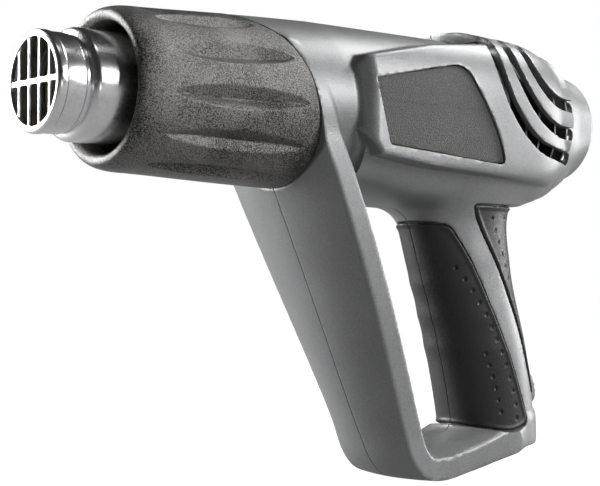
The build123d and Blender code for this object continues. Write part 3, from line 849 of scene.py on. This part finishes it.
def build_pads():
    front_rows = row_between([(76.5, -61), (66, -75), (57.5, -90), (51, -104), (46.5, -117), (46, -123)],
                             13)
    front_rows += row_between([(62, -96), (57.5, -108), (54, -120)], 6)
    dimpled = with_dimples(front_pad, front_rows)
    verts, faces = field_mesh(dimpled, (36, 0, -130), (92, 22, -41), 0.55, SPLIT_Y)
    for side, node in ((1, "grip_front_left"), (-1, "grip_front_right")):
        v, f = (verts, faces) if side > 0 else mirrored(verts, faces)
        piece = make_piece(node + "_rubber", v, f)
        sharpen(piece, 45)
        finish_piece(piece, "grip_rubber", replaces=[node])
    rear_rows = row_between([(60, -41), (53, -54), (46, -68), (40, -82), (36, -96)], 12)
    rear_rows += row_between([(50, -41), (45, -54), (40, -66)], 5)
    full = field_mesh(both_sides(with_dimples(rear_pad, rear_rows)), (18, -22, -115), (76, 22, -34), 0.6)
    piece = make_piece("grip_rear_rubber", *full)
    sharpen(piece, 45)
    finish_piece(piece, "grip_rubber", replaces=["grip_rear_pad"])


def both_sides(field):
    """A field drawn for +Y, used on both sides."""
    return lambda x, y, z: field(x, np.abs(y), z)


def build_guard():
    piece = make_piece("heat_guard_sleeve", *heat_guard())
    sharpen(piece, 40)
    finish_piece(piece, "guard_plastic", replaces=["heat_guard"])


def build_nozzle():
    tube = make_piece("nozzle_tube_steel", *lathe(nozzle_profile(), 192))
    sharpen(tube, 30)
    finish_piece(tube, "nozzle_steel", replaces=["nozzle_tube"])
    verts, faces = field_mesh(grille_bars, (259, -17, -17), (261.4, 17, 17), 0.22)
    bars = make_piece("outlet_grille_bars", verts, faces)
    finish_piece(bars, "nozzle_steel")
    cap = make_piece("outlet_cap_ring", *lathe(cap_profile(), 192))
    finish_piece(cap, "nozzle_steel", replaces=["nozzle_grille"])


def build_thumb_piece():
    piece = make_piece("switch_thumb_piece", *field_mesh(thumb_piece, (13, -7, -123), (36, 7, -103), 0.3))
    sharpen(piece, 45)
    finish_piece(piece, "housing", body="thumb_switch", replaces=["switch_slider"])


def finish_cad_nodes():
    """Carried CAD nodes take the finish of their slot."""
    slots = {row["node"]: row["material_slot"] for row in frame["record"]["subparts"]}
    for node, piece in frame["nodes"].items():
        material = FINISHES[slots[node]]
        if not piece.data.materials:
            piece.data.materials.append(material)
        for place in piece.material_slots:
            place.material = material


def light(name, at, towards, size, power):
    lamp = bpy.data.lights.new(name, "AREA")
    lamp.shape = "RECTANGLE"
    lamp.size, lamp.size_y = size
    lamp.energy = power
    holder = bpy.data.objects.new(name, lamp)
    holder.location = at
    holder.rotation_euler = (Vector(towards) - Vector(at)).to_track_quat("-Z", "Y").to_euler()
    bpy.context.scene.collection.objects.link(holder)


def build_studio():
    """Pale floor, soft lights and the camera."""
    floor_z = CAD_BOX[0][2] - 0.0005
    reach = 4000
    corners = [(-reach, -reach, floor_z / MM), (reach, -reach, floor_z / MM),
               (reach, reach, floor_z / MM), (-reach, reach, floor_z / MM)]
    floor = make_piece("studio_floor", corners, [(0, 1, 2, 3)])
    paint = bpy.data.materials.new("pale floor")
    paint.use_nodes = True
    shader = paint.node_tree.nodes["Principled BSDF"]
    shader.inputs["Base Color"].default_value = (0.14, 0.14, 0.14, 1)
    shader.inputs["Roughness"].default_value = 0.8
    shader.inputs["Specular IOR Level"].default_value = 0.1
    shader.inputs["Emission Color"].default_value = (1, 1, 1, 1)
    seen_directly = paint.node_tree.nodes.new("ShaderNodeLightPath")
    glow = paint.node_tree.nodes.new("ShaderNodeMapRange")
    glow.inputs["To Max"].default_value = 1.0
    paint.node_tree.links.new(seen_directly.outputs["Is Camera Ray"], glow.inputs["Value"])
    seen_in_gloss = math_node(paint.node_tree, "MULTIPLY", seen_directly.outputs["Is Glossy Ray"], 0.3)
    strength = math_node(paint.node_tree, "ADD", glow.outputs[0], seen_in_gloss)
    paint.node_tree.links.new(strength, shader.inputs["Emission Strength"])
    floor.data.materials.append(paint)
    world = bpy.data.worlds.new("studio air")
    bpy.context.scene.world = world
    bpy.context.scene.view_settings.view_transform = "Standard"
    world.use_nodes = True
    tree = world.node_tree
    seen = tree.nodes.new("ShaderNodeLightPath")
    level = tree.nodes.new("ShaderNodeMapRange")
    level.inputs["To Min"].default_value = 0.035
    level.inputs["To Max"].default_value = 1.0
    tree.links.new(seen.outputs["Is Camera Ray"], level.inputs["Value"])
    tree.links.new(level.outputs[0], tree.nodes["Background"].inputs["Strength"])
    tree.nodes["Background"].inputs["Color"].default_value = (1, 1, 1, 1)
    middle = (0.12, 0, -0.04)
    for name, azimuth, elevation, reach, size, power in (
            ("far key", -64, 10, 0.9, (0.35, 0.9), 21), ("near side", 123, 17, 0.9, (0.3, 0.3), 5.5),
            ("rear top", 172, 46, 0.9, (0.35, 0.3), 4.5), ("overhead", 92, 70, 0.9, (0.5, 0.1), 0.6),
            ("rear low", 168, 4, 0.9, (0.2, 0.5), 4),
            ("floor strip", 78, -4, 0.7, (0.5, 0.03), 0.35)):
        turn, rise = math.radians(azimuth), math.radians(elevation)
        way = Vector((math.cos(turn) * math.cos(rise), math.sin(turn) * math.cos(rise), math.sin(rise)))
        at = Vector(middle) + reach * way
        light(name, at, middle, size, power)

    camera_data = bpy.data.cameras.new("camera")
    camera_data.sensor_width = 36
    camera_data.lens = 87
    camera = bpy.data.objects.new("camera", camera_data)
    camera.location = Vector((499.3, 420.6, -62.7)) * MM
    yaw, pitch = math.radians(-130.0), math.radians(1.14)
    gaze = Vector((math.cos(yaw) * math.cos(pitch), math.sin(yaw) * math.cos(pitch), math.sin(pitch)))
    camera.rotation_euler = gaze.to_track_quat("-Z", "Y").to_euler()
    bpy.context.scene.collection.objects.link(camera)
    bpy.context.scene.camera = camera


build_housing()
build_panels()
build_pads()
build_guard()
build_nozzle()
build_thumb_piece()
finish_cad_nodes()
build_studio()
